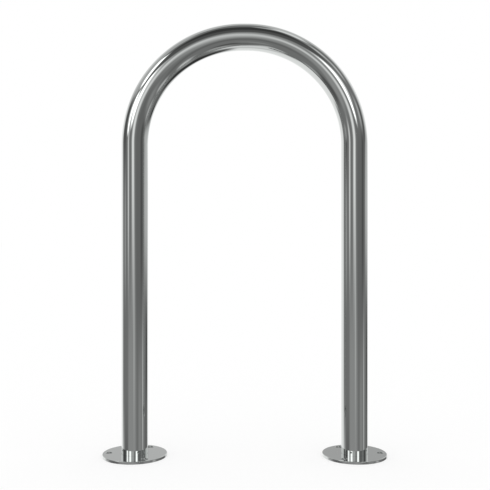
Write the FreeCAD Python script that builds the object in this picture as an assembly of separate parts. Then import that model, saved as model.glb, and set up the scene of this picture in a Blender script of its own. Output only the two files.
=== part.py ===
import FreeCAD
import Part
import math
import os

from FreeCAD import Vector

# Surface-mounted hoop bike rack, in millimetres: one stainless tube bent into an inverted U, its two
# ends let into the sockets of two round base flanges and welded to them from underneath.
# The origin is on the ground midway between the feet, X runs across the hoop and Z points up.

# Hoop
TUBE_DIAMETER = 50.8
TUBE_WALL = 2.0
HOOP_HEIGHT = 833.0
LEG_SPACING = 424.0
CROWN_STRAIGHT = 8.0

# Base flanges
FLANGE_DIAMETER = 124.0
FLANGE_THICKNESS = 5.0
FLANGE_RIM_EASING = 0.8

# Anchor holes
ANCHOR_HOLE_COUNT = 3
ANCHOR_HOLE_DIAMETER = 12.0
ANCHOR_HOLE_EASING = 0.5
ANCHOR_RIM_CLEARANCE = 6.5

# Socket and weld
SOCKET_CLEARANCE = 0.2
WELD_GROOVE_DEPTH = 2.5
WELD_GROUND_CLEARANCE = 0.4

# Sizes that follow from those above
TUBE_RADIUS = TUBE_DIAMETER / 2
BORE_RADIUS = TUBE_RADIUS - TUBE_WALL
LEG_X = LEG_SPACING / 2
BEND_RADIUS = LEG_X - CROWN_STRAIGHT / 2
BEND_CENTRE_Z = HOOP_HEIGHT - TUBE_RADIUS - BEND_RADIUS
ANCHOR_CIRCLE_RADIUS = (FLANGE_DIAMETER - ANCHOR_HOLE_DIAMETER) / 2 - ANCHOR_RIM_CLEARANCE
SOCKET_RADIUS = TUBE_RADIUS + SOCKET_CLEARANCE
TUBE_END_Z = WELD_GROOVE_DEPTH
WELD_FACE_RADIUS = SOCKET_RADIUS + WELD_GROOVE_DEPTH - WELD_GROUND_CLEARANCE

ORIGIN = Vector(0, 0, 0)
UP = Vector(0, 0, 1)
FULL_TURN = 360.0


def turned(outline):
    """The solid made by turning a closed outline of (radius, height) points round the Z axis."""
    corners = [Vector(radius, 0, height) for radius, height in outline]
    face = Part.Face(Part.makePolygon(corners + corners[:1]))
    return face.revolve(ORIGIN, UP, FULL_TURN)


def half_path_points(side):
    """Foot, spring, middle of the bend and crown end of one half of the hoop's centreline."""
    bend_centre = Vector(side * CROWN_STRAIGHT / 2, 0, BEND_CENTRE_Z)
    slant = BEND_RADIUS * math.sqrt(0.5)
    foot = Vector(side * LEG_X, 0, TUBE_END_Z)
    spring = bend_centre + Vector(side * BEND_RADIUS, 0, 0)
    middle = bend_centre + Vector(side * slant, 0, slant)
    crown = bend_centre + Vector(0, 0, BEND_RADIUS)
    return foot, spring, middle, crown


def hoop_path():
    """Centreline of the bent tube: up the left leg, round two quarter bends with a short straight
    between them at the crown, and down the right leg."""
    left_foot, left_spring, left_middle, left_crown = half_path_points(-1)
    right_foot, right_spring, right_middle, right_crown = half_path_points(1)
    return Part.Wire([
        Part.LineSegment(left_foot, left_spring).toShape(),
        Part.Arc(left_spring, left_middle, left_crown).toShape(),
        Part.LineSegment(left_crown, right_crown).toShape(),
        Part.Arc(right_crown, right_middle, right_spring).toShape(),
        Part.LineSegment(right_spring, right_foot).toShape(),
    ])


def hoop_tube():
    """The bent tube: one hollow section swept along the path, open at both cut ends."""
    path = hoop_path()
    foot = path.OrderedVertexes[0].Point
    outside = Part.Wire(Part.makeCircle(TUBE_RADIUS, foot, UP))
    bore = Part.Wire(Part.makeCircle(BORE_RADIUS, foot, UP))
    section = Part.makeFace([outside, bore], "Part::FaceMakerBullseye")
    return path.makePipe(section)


def flange_blank():
    """The flange without its anchor holes: a disc with an eased top rim and a socket that opens
    into a 45 degree weld groove below."""
    top = FLANGE_THICKNESS
    rim = FLANGE_DIAMETER / 2
    return turned([
        (SOCKET_RADIUS, WELD_GROOVE_DEPTH),
        (SOCKET_RADIUS, top),
        (rim - FLANGE_RIM_EASING, top),
        (rim, top - FLANGE_RIM_EASING),
        (rim, 0),
        (SOCKET_RADIUS + WELD_GROOVE_DEPTH, 0),
    ])


def anchor_hole_cutter():
    """The space of one anchor hole on the Z axis, flared at the top by its eased edge."""
    radius = ANCHOR_HOLE_DIAMETER / 2
    top = FLANGE_THICKNESS
    return turned([
        (0, 0),
        (radius, 0),
        (radius, top - ANCHOR_HOLE_EASING),
        (radius + ANCHOR_HOLE_EASING, top),
        (0, top),
    ])


def base_flange(side):
    """One base flange under its leg, with an anchor hole pointing straight out from the hoop.
    side is -1 for the left foot and 1 for the right one."""
    flange = flange_blank()
    outward = 180.0 if side < 0 else 0.0
    for number in range(ANCHOR_HOLE_COUNT):
        hole = anchor_hole_cutter()
        hole.translate(Vector(ANCHOR_CIRCLE_RADIUS, 0, 0))
        hole.rotate(ORIGIN, UP, outward + number * FULL_TURN / ANCHOR_HOLE_COUNT)
        flange = flange.cut(hole)
    flange.translate(Vector(side * LEG_X, 0, 0))
    return flange


def weld_bead(side):
    """The ring of weld in one flange's groove, flush with the bore. It closes the joint under the
    tube's cut end, and its dressed face stays clear of the ground so that the flange sits flat."""
    bead = turned([
        (BORE_RADIUS, TUBE_END_Z),
        (SOCKET_RADIUS, TUBE_END_Z),
        (WELD_FACE_RADIUS, WELD_GROUND_CLEARANCE),
        (BORE_RADIUS, WELD_GROUND_CLEARANCE),
    ])
    bead.translate(Vector(side * LEG_X, 0, 0))
    return bead


def write_part(node, shape):
    """Writes one piece as a STEP file named after its node."""
    shape.exportStep(os.path.join("parts", node + ".step"))


def main():
    os.makedirs("parts", exist_ok=True)
    write_part("hoop_tube", hoop_tube())
    for name, side in (("left", -1), ("right", 1)):
        write_part(name + "_base_flange", base_flange(side))
        write_part(name + "_weld_bead", weld_bead(side))


main()
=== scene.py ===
import math

import bpy
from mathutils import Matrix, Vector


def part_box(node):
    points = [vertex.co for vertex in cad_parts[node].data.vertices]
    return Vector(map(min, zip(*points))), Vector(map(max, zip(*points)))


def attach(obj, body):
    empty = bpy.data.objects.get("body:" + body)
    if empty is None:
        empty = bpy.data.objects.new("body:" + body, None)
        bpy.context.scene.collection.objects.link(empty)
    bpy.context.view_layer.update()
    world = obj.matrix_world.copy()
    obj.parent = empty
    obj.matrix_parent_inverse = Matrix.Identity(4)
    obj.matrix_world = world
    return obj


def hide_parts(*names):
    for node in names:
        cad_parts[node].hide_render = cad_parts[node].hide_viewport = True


# Polished stainless hoop bike rack on a plain pale floor. Lengths are in metres and angles in degrees.

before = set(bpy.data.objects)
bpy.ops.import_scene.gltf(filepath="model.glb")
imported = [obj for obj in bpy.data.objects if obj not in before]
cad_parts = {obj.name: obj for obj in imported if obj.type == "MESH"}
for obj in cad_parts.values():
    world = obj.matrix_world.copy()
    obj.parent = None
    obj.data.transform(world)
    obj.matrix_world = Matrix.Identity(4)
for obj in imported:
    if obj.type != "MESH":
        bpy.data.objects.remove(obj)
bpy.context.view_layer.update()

# Tube of the hoop
TUBE_RADIUS = 0.0254
TUBE_WALL = 0.002
TUBE_SIDES = 96
LEG_RINGS = 14
BEND_RINGS = 90
CROWN_STRAIGHT = 0.008

# Base flanges
FLANGE_SIDES = 192
RIM_EASING = 0.0008
RIM_EASING_STEPS = 3
SOCKET_CLEARANCE = 0.0002
SOCKET_RADIUS = TUBE_RADIUS + SOCKET_CLEARANCE
SOCKET_SIDES = 96
GROOVE_DEPTH = 0.0025
HOLE_COUNT = 3
HOLE_RADIUS = 0.006
HOLE_CIRCLE_RADIUS = 0.0495
HOLE_EASING = 0.0005
HOLE_SIDES = 48
CUTTER_OVERRUN = 0.001

# Largest angle between two faces that are shaded as one round surface
SMOOTH_ANGLE = 30

# How nearly upright the normal of a flat end face is, and how close doubled points lie
UPRIGHT = 0.9
MERGE_DISTANCE = 0.000001

# Where the hoop and its feet stand, from the frame
hoop_low, hoop_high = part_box("hoop_tube")
LEG_X = hoop_high.x - TUBE_RADIUS
BEND_RADIUS = LEG_X - CROWN_STRAIGHT / 2
BEND_CENTRE_Z = hoop_high.z - TUBE_RADIUS - BEND_RADIUS
TUBE_END_Z = hoop_low.z
LEG_LENGTH = BEND_CENTRE_Z - TUBE_END_Z
HALF_LENGTH = LEG_LENGTH + BEND_RADIUS * math.pi / 2 + CROWN_STRAIGHT / 2
_, flange_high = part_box("right_base_flange")
FLANGE_RADIUS = flange_high.x - LEG_X
FLANGE_THICKNESS = flange_high.z

# Camera, level with the lower half of the hoop
CAMERA_DISTANCE = 1.46
CAMERA_HEIGHT = 0.4063
SENSOR_WIDTH = 36.0
IMAGE_SIDE = 490
FOCAL_LENGTH_PIXELS = 756
FRAMING_OFFSET_PIXELS = 0.4

# Metals: colours, and the roughness from the brightest to the dullest places
STEEL_COLOUR = (0.575, 0.592, 0.583)
STEEL_ROUGHNESS = (0.015, 0.05)
WELD_COLOUR = (0.5, 0.48, 0.45)
WELD_ROUGHNESS = (0.28, 0.48)
HEAT_BLUE = (0.34, 0.35, 0.4)
HEAT_STRAW = (0.55, 0.46, 0.33)

# Grains per metre of each pattern: outwards, through and along on the polished tube, and along X, Y
# and Z on the weld
POLISHING_MARKS = (40, 40, 1400)
POLISH_HAZE = (25, 25, 14)
TUBE_WAVES = (30, 30, 12)
HEAT_PATCHES = (60, 60, 60)
GRINDING_SCRATCHES = (150, 1800, 150)

# Layers of finer noise within a pattern
SMOOTH_DETAIL = 0
MIDDLE_DETAIL = 3
FINE_DETAIL = 4

# Depth of the marks that catch the light
POLISHING_DEPTH = 0.000001
WAVE_DEPTH = 0.00002
SCRATCH_DEPTH = 0.00005

# Range that a noise mostly keeps to, and its middle
NOISE_LOW = 0.3
NOISE_MIDDLE = 0.5
NOISE_HIGH = 0.7

# Studio
FLOOR_SIDE = 400.0
FLOOR_SHADING = 0.4
SURROUND_RADIUS = 200.0
SURROUND_SIDES = 64


def nothing_selected():
    """Deselects everything, so that the next operator acts only on what it is meant for."""
    bpy.ops.object.select_all(action="DESELECT")


def only(piece):
    """Selects one object and makes it the active one."""
    nothing_selected()
    piece.select_set(True)
    bpy.context.view_layer.objects.active = piece


def apply_modifier(piece, kind, **settings):
    """Puts one modifier on a piece and applies it."""
    only(piece)
    modifier = piece.modifiers.new(kind.lower(), kind)
    for name, value in settings.items():
        setattr(modifier, name, value)
    bpy.ops.object.modifier_apply(modifier=modifier.name)


def settle(piece):
    """Leaves the object at the origin, unturned and unscaled, with its place in its mesh."""
    only(piece)
    bpy.ops.object.transform_apply(location=True, rotation=True, scale=True)


def clean_skin(piece):
    """Merges doubled points and turns the faces outwards."""
    only(piece)
    bpy.ops.object.mode_set(mode="EDIT")
    bpy.ops.mesh.select_all(action="SELECT")
    bpy.ops.mesh.remove_doubles(threshold=MERGE_DISTANCE)
    bpy.ops.mesh.normals_make_consistent(inside=False)
    bpy.ops.object.mode_set(mode="OBJECT")


def smooth_skin(piece):
    """Shades the round faces smooth and keeps the flat ones true right up to their eased edges."""
    only(piece)
    bpy.ops.object.shade_smooth_by_angle(angle=math.radians(SMOOTH_ANGLE))
    apply_modifier(piece, "WEIGHTED_NORMAL", keep_sharp=True)


def draw_ring(offset, rings):
    """Draws the selected ring of the tube's section along by a number of equal steps."""
    for _ in range(rings):
        bpy.ops.mesh.extrude_region_move(TRANSFORM_OT_translate={"value": offset})


def bend_ring(centre_x):
    """Draws the selected ring round one quarter bend, towards +X."""
    centre = (centre_x, 0, BEND_CENTRE_Z)
    bpy.ops.mesh.spin(steps=BEND_RINGS, angle=math.pi / 2, center=centre, axis=(0, -1, 0))


def hoop_tube():
    """The bent tube: a ring of its section drawn up the left leg, round two quarter bends with a
    short straight between them, and down the right leg, then given its wall."""
    nothing_selected()
    foot = (-LEG_X, 0, TUBE_END_Z)
    bpy.ops.mesh.primitive_circle_add(vertices=TUBE_SIDES, radius=TUBE_RADIUS, location=foot)
    tube = bpy.context.object
    tube.name = "polished_hoop"
    ring_step = LEG_LENGTH / LEG_RINGS
    bpy.ops.object.mode_set(mode="EDIT")
    bpy.ops.mesh.select_all(action="SELECT")
    draw_ring((0, 0, ring_step), LEG_RINGS)
    bend_ring(-CROWN_STRAIGHT / 2)
    draw_ring((CROWN_STRAIGHT, 0, 0), 1)
    bend_ring(CROWN_STRAIGHT / 2)
    draw_ring((0, 0, -ring_step), LEG_RINGS)
    bpy.ops.object.mode_set(mode="OBJECT")
    settle(tube)
    clean_skin(tube)
    apply_modifier(tube, "SOLIDIFY", thickness=TUBE_WALL, offset=-1, use_even_offset=True)
    smooth_skin(tube)
    return tube


def place_on_tube(point):
    """Where a point of the hoop would lie on the unbent tube: outwards, through and along it."""
    x = abs(point.x)
    rise = point.z - BEND_CENTRE_Z
    reach = x - CROWN_STRAIGHT / 2
    if rise <= 0:
        outwards = x - LEG_X
        along = LEG_LENGTH + rise
    elif reach <= 0:
        outwards = rise - BEND_RADIUS
        along = HALF_LENGTH - x
    else:
        outwards = math.hypot(reach, rise) - BEND_RADIUS
        along = LEG_LENGTH + BEND_RADIUS * math.atan2(rise, reach)
    if point.x > 0:
        along = 2 * HALF_LENGTH - along
    return outwards, point.y, along


def place_on_flange(point):
    """Height of a point of a flange and its distance from the leg's axis, with one heading for all."""
    return point.z, 0.0, math.hypot(abs(point.x) - LEG_X, point.y)


def lay_polish(piece, place_of):
    """Records a place for each point of a piece, so that the polishing marks follow its shape."""
    places = piece.data.attributes.new("polish_place", "FLOAT_VECTOR", "POINT")
    for point, place in zip(piece.data.vertices, places.data):
        place.vector = place_of(point.co)


def socket_cutter(x):
    """The space of a flange's socket, which opens into a 45 degree weld groove below."""
    nothing_selected()
    top = FLANGE_THICKNESS + CUTTER_OVERRUN
    place = (x, 0, (top + GROOVE_DEPTH) / 2)
    bpy.ops.mesh.primitive_cylinder_add(
        vertices=SOCKET_SIDES, radius=SOCKET_RADIUS, depth=top - GROOVE_DEPTH, location=place
    )
    cutter = bpy.context.object
    flare_end(cutter, up=False, run=GROOVE_DEPTH + CUTTER_OVERRUN, radius=SOCKET_RADIUS)
    return cutter


def flare_end(cutter, up, run, radius):
    """Draws one end of a round cutter out by run, widening it at 45 degrees."""
    only(cutter)
    bpy.ops.object.mode_set(mode="EDIT")
    bpy.ops.mesh.select_all(action="DESELECT")
    bpy.ops.object.mode_set(mode="OBJECT")
    sign = 1 if up else -1
    for face in cutter.data.polygons:
        face.select = face.normal.z * sign > UPRIGHT
    bpy.ops.object.mode_set(mode="EDIT")
    bpy.ops.mesh.extrude_region_move(TRANSFORM_OT_translate={"value": (0, 0, sign * run)})
    wider = (radius + run) / radius
    bpy.ops.transform.resize(value=(wider, wider, 1), center_override=tuple(cutter.location))
    bpy.ops.object.mode_set(mode="OBJECT")


def anchor_hole_cutter(x, heading):
    """The space of one anchor hole with its eased upper edge, at a heading round the flange."""
    nothing_selected()
    angle = math.radians(heading)
    hole_x = x + HOLE_CIRCLE_RADIUS * math.cos(angle)
    hole_y = HOLE_CIRCLE_RADIUS * math.sin(angle)
    straight_top = FLANGE_THICKNESS - HOLE_EASING
    bpy.ops.mesh.primitive_cylinder_add(
        vertices=HOLE_SIDES,
        radius=HOLE_RADIUS,
        depth=straight_top + CUTTER_OVERRUN,
        location=(hole_x, hole_y, (straight_top - CUTTER_OVERRUN) / 2),
    )
    cutter = bpy.context.object
    flare_end(cutter, up=True, run=HOLE_EASING + CUTTER_OVERRUN, radius=HOLE_RADIUS)
    return cutter


def cut(piece, cutter):
    """Takes the cutter's space out of the piece and deletes the cutter."""
    settle(cutter)
    apply_modifier(piece, "BOOLEAN", object=cutter, operation="DIFFERENCE", solver="EXACT")
    bpy.data.objects.remove(cutter)


def ease_rim(flange):
    """Rounds the upper edge of the disc."""
    only(flange)
    bpy.ops.object.mode_set(mode="EDIT")
    bpy.ops.mesh.select_all(action="DESELECT")
    bpy.ops.mesh.select_mode(type="FACE")
    bpy.ops.object.mode_set(mode="OBJECT")
    for face in flange.data.polygons:
        face.select = face.normal.z > UPRIGHT
    bpy.ops.object.mode_set(mode="EDIT")
    bpy.ops.mesh.region_to_loop()
    bpy.ops.mesh.bevel(offset=RIM_EASING, segments=RIM_EASING_STEPS, affect="EDGES")
    bpy.ops.object.mode_set(mode="OBJECT")


def left_flange():
    """The left base flange: a disc with an eased rim, its socket and its three anchor holes."""
    nothing_selected()
    place = (-LEG_X, 0, FLANGE_THICKNESS / 2)
    bpy.ops.mesh.primitive_cylinder_add(
        vertices=FLANGE_SIDES, radius=FLANGE_RADIUS, depth=FLANGE_THICKNESS, location=place
    )
    flange = bpy.context.object
    flange.name = "polished_left_flange"
    settle(flange)
    ease_rim(flange)
    cut(flange, socket_cutter(-LEG_X))
    for number in range(HOLE_COUNT):
        heading = 180 + number * 360 / HOLE_COUNT
        cut(flange, anchor_hole_cutter(-LEG_X, heading))
    clean_skin(flange)
    smooth_skin(flange)
    return flange


def right_flange(left):
    """The right base flange: a copy of the left one turned half round about the hoop's middle."""
    flange = left.copy()
    flange.data = left.data.copy()
    flange.name = "polished_right_flange"
    bpy.context.collection.objects.link(flange)
    only(flange)
    bpy.ops.transform.rotate(value=math.pi, orient_axis="Z", center_override=(0, 0, 0))
    settle(flange)
    return flange


def new_material(name):
    """A material with an empty node tree."""
    material = bpy.data.materials.new(name)
    material.use_nodes = True
    material.node_tree.nodes.clear()
    return material, material.node_tree.nodes, material.node_tree.links


def calculate(nodes, links, operation, first, second=None):
    """Adds one calculation on a node's output and returns its result."""
    node = nodes.new("ShaderNodeMath")
    node.operation = operation
    links.new(first, node.inputs[0])
    if isinstance(second, bpy.types.NodeSocket):
        links.new(second, node.inputs[1])
    elif second is not None:
        node.inputs[1].default_value = second
    return node.outputs["Value"]


def stretched_noise(nodes, links, place, stretch, detail):
    """Noise on a place, with its own number of grains per metre along each axis."""
    scale = nodes.new("ShaderNodeVectorMath")
    scale.operation = "MULTIPLY"
    scale.inputs[1].default_value = stretch
    links.new(place, scale.inputs[0])
    noise = nodes.new("ShaderNodeTexNoise")
    noise.inputs["Scale"].default_value = 1.0
    noise.inputs["Detail"].default_value = detail
    links.new(scale.outputs["Vector"], noise.inputs["Vector"])
    return noise.outputs["Fac"]


def rescaled(nodes, links, noise, span):
    """Brings a noise into another span."""
    scale = nodes.new("ShaderNodeMapRange")
    scale.inputs["From Min"].default_value = NOISE_LOW
    scale.inputs["From Max"].default_value = NOISE_HIGH
    scale.inputs["To Min"].default_value = span[0]
    scale.inputs["To Max"].default_value = span[1]
    links.new(noise, scale.inputs["Value"])
    return scale.outputs["Result"]


def bumped(nodes, links, height, depth, normal=None):
    """Normal of a surface with small marks up to a depth, over an earlier normal."""
    bump = nodes.new("ShaderNodeBump")
    bump.inputs["Distance"].default_value = depth
    links.new(height, bump.inputs["Height"])
    if normal is not None:
        links.new(normal, bump.inputs["Normal"])
    return bump.outputs["Normal"]


def metal(name, colour):
    """A metal's material, its shader and its node tree."""
    material, nodes, links = new_material(name)
    out = nodes.new("ShaderNodeOutputMaterial")
    steel = nodes.new("ShaderNodeBsdfPrincipled")
    steel.inputs["Base Color"].default_value = (*colour, 1)
    steel.inputs["Metallic"].default_value = 1.0
    links.new(steel.outputs["BSDF"], out.inputs["Surface"])
    return material, steel, nodes, links


def polished_stainless():
    """Mirror-polished stainless steel: faint polishing marks that run round the tube and round the
    flanges, a little haze in patches, and the slight waviness of drawn tube."""
    material, steel, nodes, links = metal("mirror_polish", STEEL_COLOUR)
    attribute = nodes.new("ShaderNodeAttribute")
    attribute.attribute_name = "polish_place"
    place = attribute.outputs["Vector"]
    marks = stretched_noise(nodes, links, place, POLISHING_MARKS, MIDDLE_DETAIL)
    haze = stretched_noise(nodes, links, place, POLISH_HAZE, FINE_DETAIL)
    waves = stretched_noise(nodes, links, place, TUBE_WAVES, SMOOTH_DETAIL)
    worn = calculate(nodes, links, "ADD", marks, haze)
    average = calculate(nodes, links, "MULTIPLY", worn, 0.5)
    links.new(rescaled(nodes, links, average, STEEL_ROUGHNESS), steel.inputs["Roughness"])
    wavy = bumped(nodes, links, waves, WAVE_DEPTH)
    links.new(bumped(nodes, links, marks, POLISHING_DEPTH, wavy), steel.inputs["Normal"])
    return material


def heat_tint(nodes, links, patches):
    """Colour of the weld: bare metal in the middle of the noise, blue below it and straw above."""
    tint = nodes.new("ShaderNodeValToRGB")
    tint.color_ramp.elements[0].position = NOISE_LOW
    tint.color_ramp.elements[0].color = (*HEAT_BLUE, 1)
    tint.color_ramp.elements[1].position = NOISE_HIGH
    tint.color_ramp.elements[1].color = (*HEAT_STRAW, 1)
    bare = tint.color_ramp.elements.new(NOISE_MIDDLE)
    bare.color = (*WELD_COLOUR, 1)
    links.new(patches, tint.inputs["Fac"])
    return tint.outputs["Color"]


def weld_metal():
    """Dressed stainless weld: dull, with grinding marks and a light straw and blue heat tint."""
    material, steel, nodes, links = metal("dressed_weld", WELD_COLOUR)
    place = nodes.new("ShaderNodeTexCoord").outputs["Object"]
    patches = stretched_noise(nodes, links, place, HEAT_PATCHES, MIDDLE_DETAIL)
    scratches = stretched_noise(nodes, links, place, GRINDING_SCRATCHES, FINE_DETAIL)
    links.new(heat_tint(nodes, links, patches), steel.inputs["Base Color"])
    links.new(rescaled(nodes, links, scratches, WELD_ROUGHNESS), steel.inputs["Roughness"])
    links.new(bumped(nodes, links, scratches, SCRATCH_DEPTH), steel.inputs["Normal"])
    return material


def dress(piece, material):
    """Gives a piece one material."""
    piece.data.materials.clear()
    piece.data.materials.append(material)


# Studio surround: what the mirror metal reflects. Each panel is seen from the hoop, as (name,
# azimuth, elevation, half width, half height, softness of its sides, softness of its upper and lower
# edges, brightness). Azimuth 0 is behind the camera and grows towards +X. A later panel hangs in
# front of an earlier one.
SURROUND_BASE = 0.25
SURROUND_PANELS = [
    ("room behind, upper", 180, 55, 60, 20, 14, 6, 0.72),
    ("room behind, left, middle", -152, 36, 40, 10, 10, 8, 0.9),
    ("room behind, left", -152, -20, 38, 44, 8, 10, 1.15),
    ("white ground left", -108, -36, 13, 20, 7, 6, 1.15),
    ("wall left, upper", -100, 48, 20, 20, 10, 5, 0.6),
    ("dark wall left", -89, 17, 16, 12, 14, 5, 0.12),
    ("grey patch left", -83, 1, 8, 4, 5, 3, 0.46),
    ("white room behind, right", 155, 21, 40, 18, 22, 9, 1.1),
    ("right, level", 118, 5, 19, 6, 7, 5, 0.68),
    ("dark ground behind, right", 143, -37, 27, 16, 8, 6, 0.05),
    ("dark behind, right", 125, -14, 14, 8, 10, 5, 0.18),
    ("dark strip behind, right", 131, -8, 7, 3, 5, 2, 0.03),
    ("white low behind, right", 160, -7, 14, 11, 6, 5, 0.95),
    ("ground right, near", 113, -48, 12, 5, 6, 4, 0.4),
    ("dark wall right", 91, 18, 10, 10, 7, 5, 0.13),
    ("backdrop low, left", -172, 15, 8, 4, 3, 3, 0.62),
    ("backdrop low, right", 172, 15, 8, 4, 3, 3, 0.5),
    ("ground, below", -150, -80, 85, 14, 15, 6, 0.98),
    ("ground, below left", -62, -75, 20, 6, 10, 5, 0.75),
    ("ground, below right", 70, -74, 25, 8, 15, 5, 0.5),
    ("ground, front dark", 15, -32, 45, 5, 15, 5, 0.19),
    ("ground below, dark", 22, -66, 25, 5, 15, 4, 0.12),
    ("ground below, light", -10, -57, 14, 4, 8, 4, 0.36),
    ("ground, front far", -16, -12, 34, 9, 10, 6, 0.39),
    ("ground, front right, far", 52, -14, 12, 6, 7, 5, 0.35),
    ("dark ground left", -68, -25, 14, 10, 6, 5, 0.13),
    ("pale ground left", -80, -43, 10, 6, 8, 4, 0.5),
    ("pale ground right, near", 78, -49, 16, 5, 14, 3, 0.78),
    ("pale ground right", 75, -29, 9, 5, 7, 3, 0.66),
    ("wall right, low", 80, -12, 7, 6, 6, 5, 0.6),
    ("ceiling", -6, 60, 50, 18, 14, 4, 0.06),
    ("ceiling, lower", -2, 40, 42, 10, 8, 5, 0.12),
    ("ceiling over the crown", 46, 78, 25, 6, 15, 4, 0.55),
    ("bright ceiling right", 92, 71, 28, 8, 15, 4, 1.08),
    ("wall right, high", 64, 53, 10, 5, 7, 4, 0.8),
    ("wall right, upper", 72, 44, 10, 5, 7, 4, 0.74),
    ("wall right, middle", 70, 22, 9, 6, 8, 5, 0.6),
    ("wall right, dark", 66, 4, 14, 8, 8, 5, 0.12),
    ("front grey", 38, 2, 20, 9, 8, 5, 0.2),
    ("above the window", 0, 21, 16, 5, 6, 5, 0.38),
    ("window streak", 1, -4, 5, 8, 4, 5, 0.6),
    ("window", -8, 8, 9, 8, 8, 8, 1.22),
    ("left stand", -49, 6, 6, 7, 4, 5, 0.92),
    ("softbox high, glow", -66, 43, 16, 6, 5, 3, 0.95),
    ("softbox high", -64, 42, 9, 8, 5, 2, 2.9),
    ("softbox low, glow", -62, 22, 13, 5, 5, 4, 0.95),
    ("softbox near, glow", -31, 20, 14, 6, 6, 4, 1.15),
    ("softbox link", -46, 22, 8, 4, 4, 4, 1.6),
    ("softbox low", -59, 21, 5, 9, 6, 2, 2.9),
    ("softbox near", -32, 21, 6, 8, 6, 2, 2.9),
    ("softbox right, glow", 24, 20, 11, 5, 5, 4, 1.15),
    ("softbox right, top", 32, 31, 8, 3, 4, 2, 0.8),
    ("softbox right, spill", 37, 27, 6, 4, 5, 4, 1.2),
    ("softbox right", 24, 21, 6, 8, 5, 2, 2.9),
]


def soft_span(nodes, links, angle, centre, half_span, softness):
    """1 where an angle lies within half_span of the centre, fading to 0 across the softness."""
    offset = calculate(nodes, links, "SUBTRACT", angle, centre)
    distance = calculate(nodes, links, "PINGPONG", offset, 180)
    fade = nodes.new("ShaderNodeMapRange")
    fade.interpolation_type = "SMOOTHSTEP"
    fade.inputs["From Min"].default_value = half_span + softness
    fade.inputs["From Max"].default_value = half_span - softness
    links.new(distance, fade.inputs["Value"])
    return fade.outputs["Result"]


def hang_panel(nodes, links, azimuth, elevation, panel, behind):
    """Adds one soft-edged panel over the brightness behind it and returns the new brightness."""
    _, centre_azimuth, centre_elevation, half_width, half_height, side_soft, edge_soft, brightness = panel
    across = soft_span(nodes, links, azimuth, centre_azimuth, half_width, side_soft)
    upright = soft_span(nodes, links, elevation, centre_elevation, half_height, edge_soft)
    mix = nodes.new("ShaderNodeMix")
    mix.data_type = "FLOAT"
    mix.inputs["B"].default_value = brightness
    links.new(calculate(nodes, links, "MULTIPLY", across, upright), mix.inputs["Factor"])
    links.new(behind, mix.inputs["A"])
    return mix.outputs["Result"]


def surround_angles(nodes, links):
    """Azimuth and elevation in degrees of a place on the surround, seen from the hoop."""
    place = nodes.new("ShaderNodeTexCoord")
    direction = nodes.new("ShaderNodeVectorMath")
    direction.operation = "NORMALIZE"
    axes = nodes.new("ShaderNodeSeparateXYZ")
    links.new(place.outputs["Object"], direction.inputs[0])
    links.new(direction.outputs["Vector"], axes.inputs["Vector"])
    forward = calculate(nodes, links, "MULTIPLY", axes.outputs["Y"], -1)
    azimuth = calculate(nodes, links, "ARCTAN2", axes.outputs["X"], forward)
    elevation = calculate(nodes, links, "ARCSINE", axes.outputs["Z"])
    azimuth_degrees = calculate(nodes, links, "DEGREES", azimuth)
    elevation_degrees = calculate(nodes, links, "DEGREES", elevation)
    return azimuth_degrees, elevation_degrees


def surround_material():
    """Glow of the studio surround, built up panel by panel."""
    material, nodes, links = new_material("studio_surround")
    material.cycles.emission_sampling = "NONE"
    azimuth, elevation = surround_angles(nodes, links)
    base = nodes.new("ShaderNodeValue")
    base.outputs["Value"].default_value = SURROUND_BASE
    brightness = base.outputs["Value"]
    for panel in SURROUND_PANELS:
        brightness = hang_panel(nodes, links, azimuth, elevation, panel, brightness)
    glow = nodes.new("ShaderNodeEmission")
    out = nodes.new("ShaderNodeOutputMaterial")
    links.new(brightness, glow.inputs["Strength"])
    links.new(glow.outputs["Emission"], out.inputs["Surface"])
    return material


def studio_surround():
    """The surround hangs far out all round and is seen in reflections only."""
    nothing_selected()
    bpy.ops.mesh.primitive_uv_sphere_add(
        segments=SURROUND_SIDES, ring_count=SURROUND_SIDES // 2, radius=SURROUND_RADIUS
    )
    surround = bpy.context.object
    surround.name = "studio_surround"
    surround.visible_camera = False
    surround.visible_diffuse = False
    surround.visible_shadow = False
    dress(surround, surround_material())


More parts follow.
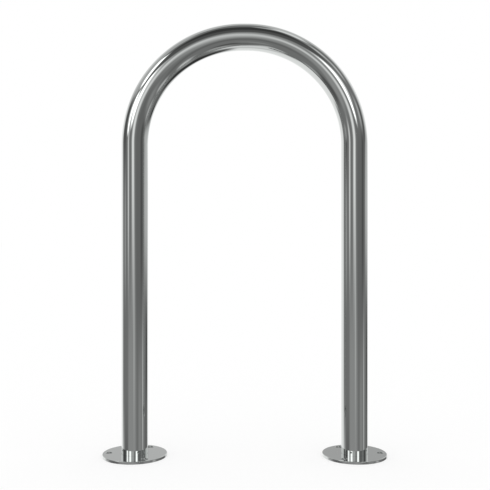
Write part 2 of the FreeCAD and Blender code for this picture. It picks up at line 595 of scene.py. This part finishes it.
def floor_material():
    """Pale floor that reads as white and keeps the object's soft shadow."""
    material, nodes, links = new_material("pale_floor")
    material.cycles.emission_sampling = "NONE"
    ray = nodes.new("ShaderNodeLightPath").outputs
    seen = calculate(nodes, links, "MAXIMUM", ray["Is Camera Ray"], ray["Is Glossy Ray"])
    seen_through = calculate(nodes, links, "MAXIMUM", seen, ray["Is Transmission Ray"])
    matt = nodes.new("ShaderNodeBsdfDiffuse")
    matt.inputs["Color"].default_value = (FLOOR_SHADING, FLOOR_SHADING, FLOOR_SHADING, 1)
    white = nodes.new("ShaderNodeEmission")
    level = calculate(nodes, links, "MULTIPLY", seen_through, 1 - FLOOR_SHADING)
    links.new(level, white.inputs["Strength"])
    both = nodes.new("ShaderNodeAddShader")
    out = nodes.new("ShaderNodeOutputMaterial")
    links.new(matt.outputs["BSDF"], both.inputs[0])
    links.new(white.outputs["Emission"], both.inputs[1])
    links.new(both.outputs["Shader"], out.inputs["Surface"])
    return material


def floor():
    """Plain pale floor under the feet."""
    nothing_selected()
    bpy.ops.mesh.primitive_plane_add(size=FLOOR_SIDE)
    plane = bpy.context.object
    plane.name = "floor"
    plane.visible_glossy = False
    dress(plane, floor_material())


def white_world():
    """Plain white light from all round, at the level at which a colour renders as written."""
    world = bpy.data.worlds.new("white_studio")
    bpy.context.scene.world = world
    world.use_nodes = True
    background = world.node_tree.nodes["Background"]
    background.inputs["Color"].default_value = (1, 1, 1, 1)
    background.inputs["Strength"].default_value = 1.0
    world.cycles.sampling_method = "NONE"


def camera():
    """The camera, level and square to the hoop."""
    data = bpy.data.cameras.new("camera")
    data.sensor_width = SENSOR_WIDTH
    data.lens = SENSOR_WIDTH * FOCAL_LENGTH_PIXELS / IMAGE_SIDE
    data.shift_x = FRAMING_OFFSET_PIXELS / IMAGE_SIDE
    data.clip_end = FLOOR_SIDE
    eye = bpy.data.objects.new("camera", data)
    eye.location = (0, -CAMERA_DISTANCE, CAMERA_HEIGHT)
    eye.rotation_euler = (math.radians(90), 0, 0)
    bpy.context.collection.objects.link(eye)
    bpy.context.scene.camera = eye


bpy.context.scene.view_settings.view_transform = "Standard"
camera()
white_world()
floor()
studio_surround()

steel = polished_stainless()
weld = weld_metal()

hoop = hoop_tube()
lay_polish(hoop, place_on_tube)
dress(hoop, steel)
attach(hoop, "root")
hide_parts("hoop_tube")

left = left_flange()
right = right_flange(left)
for flange, node in ((left, "left_base_flange"), (right, "right_base_flange")):
    lay_polish(flange, place_on_flange)
    dress(flange, steel)
    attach(flange, "root")
    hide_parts(node)

for node in ("left_weld_bead", "right_weld_bead"):
    dress(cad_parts[node], weld)
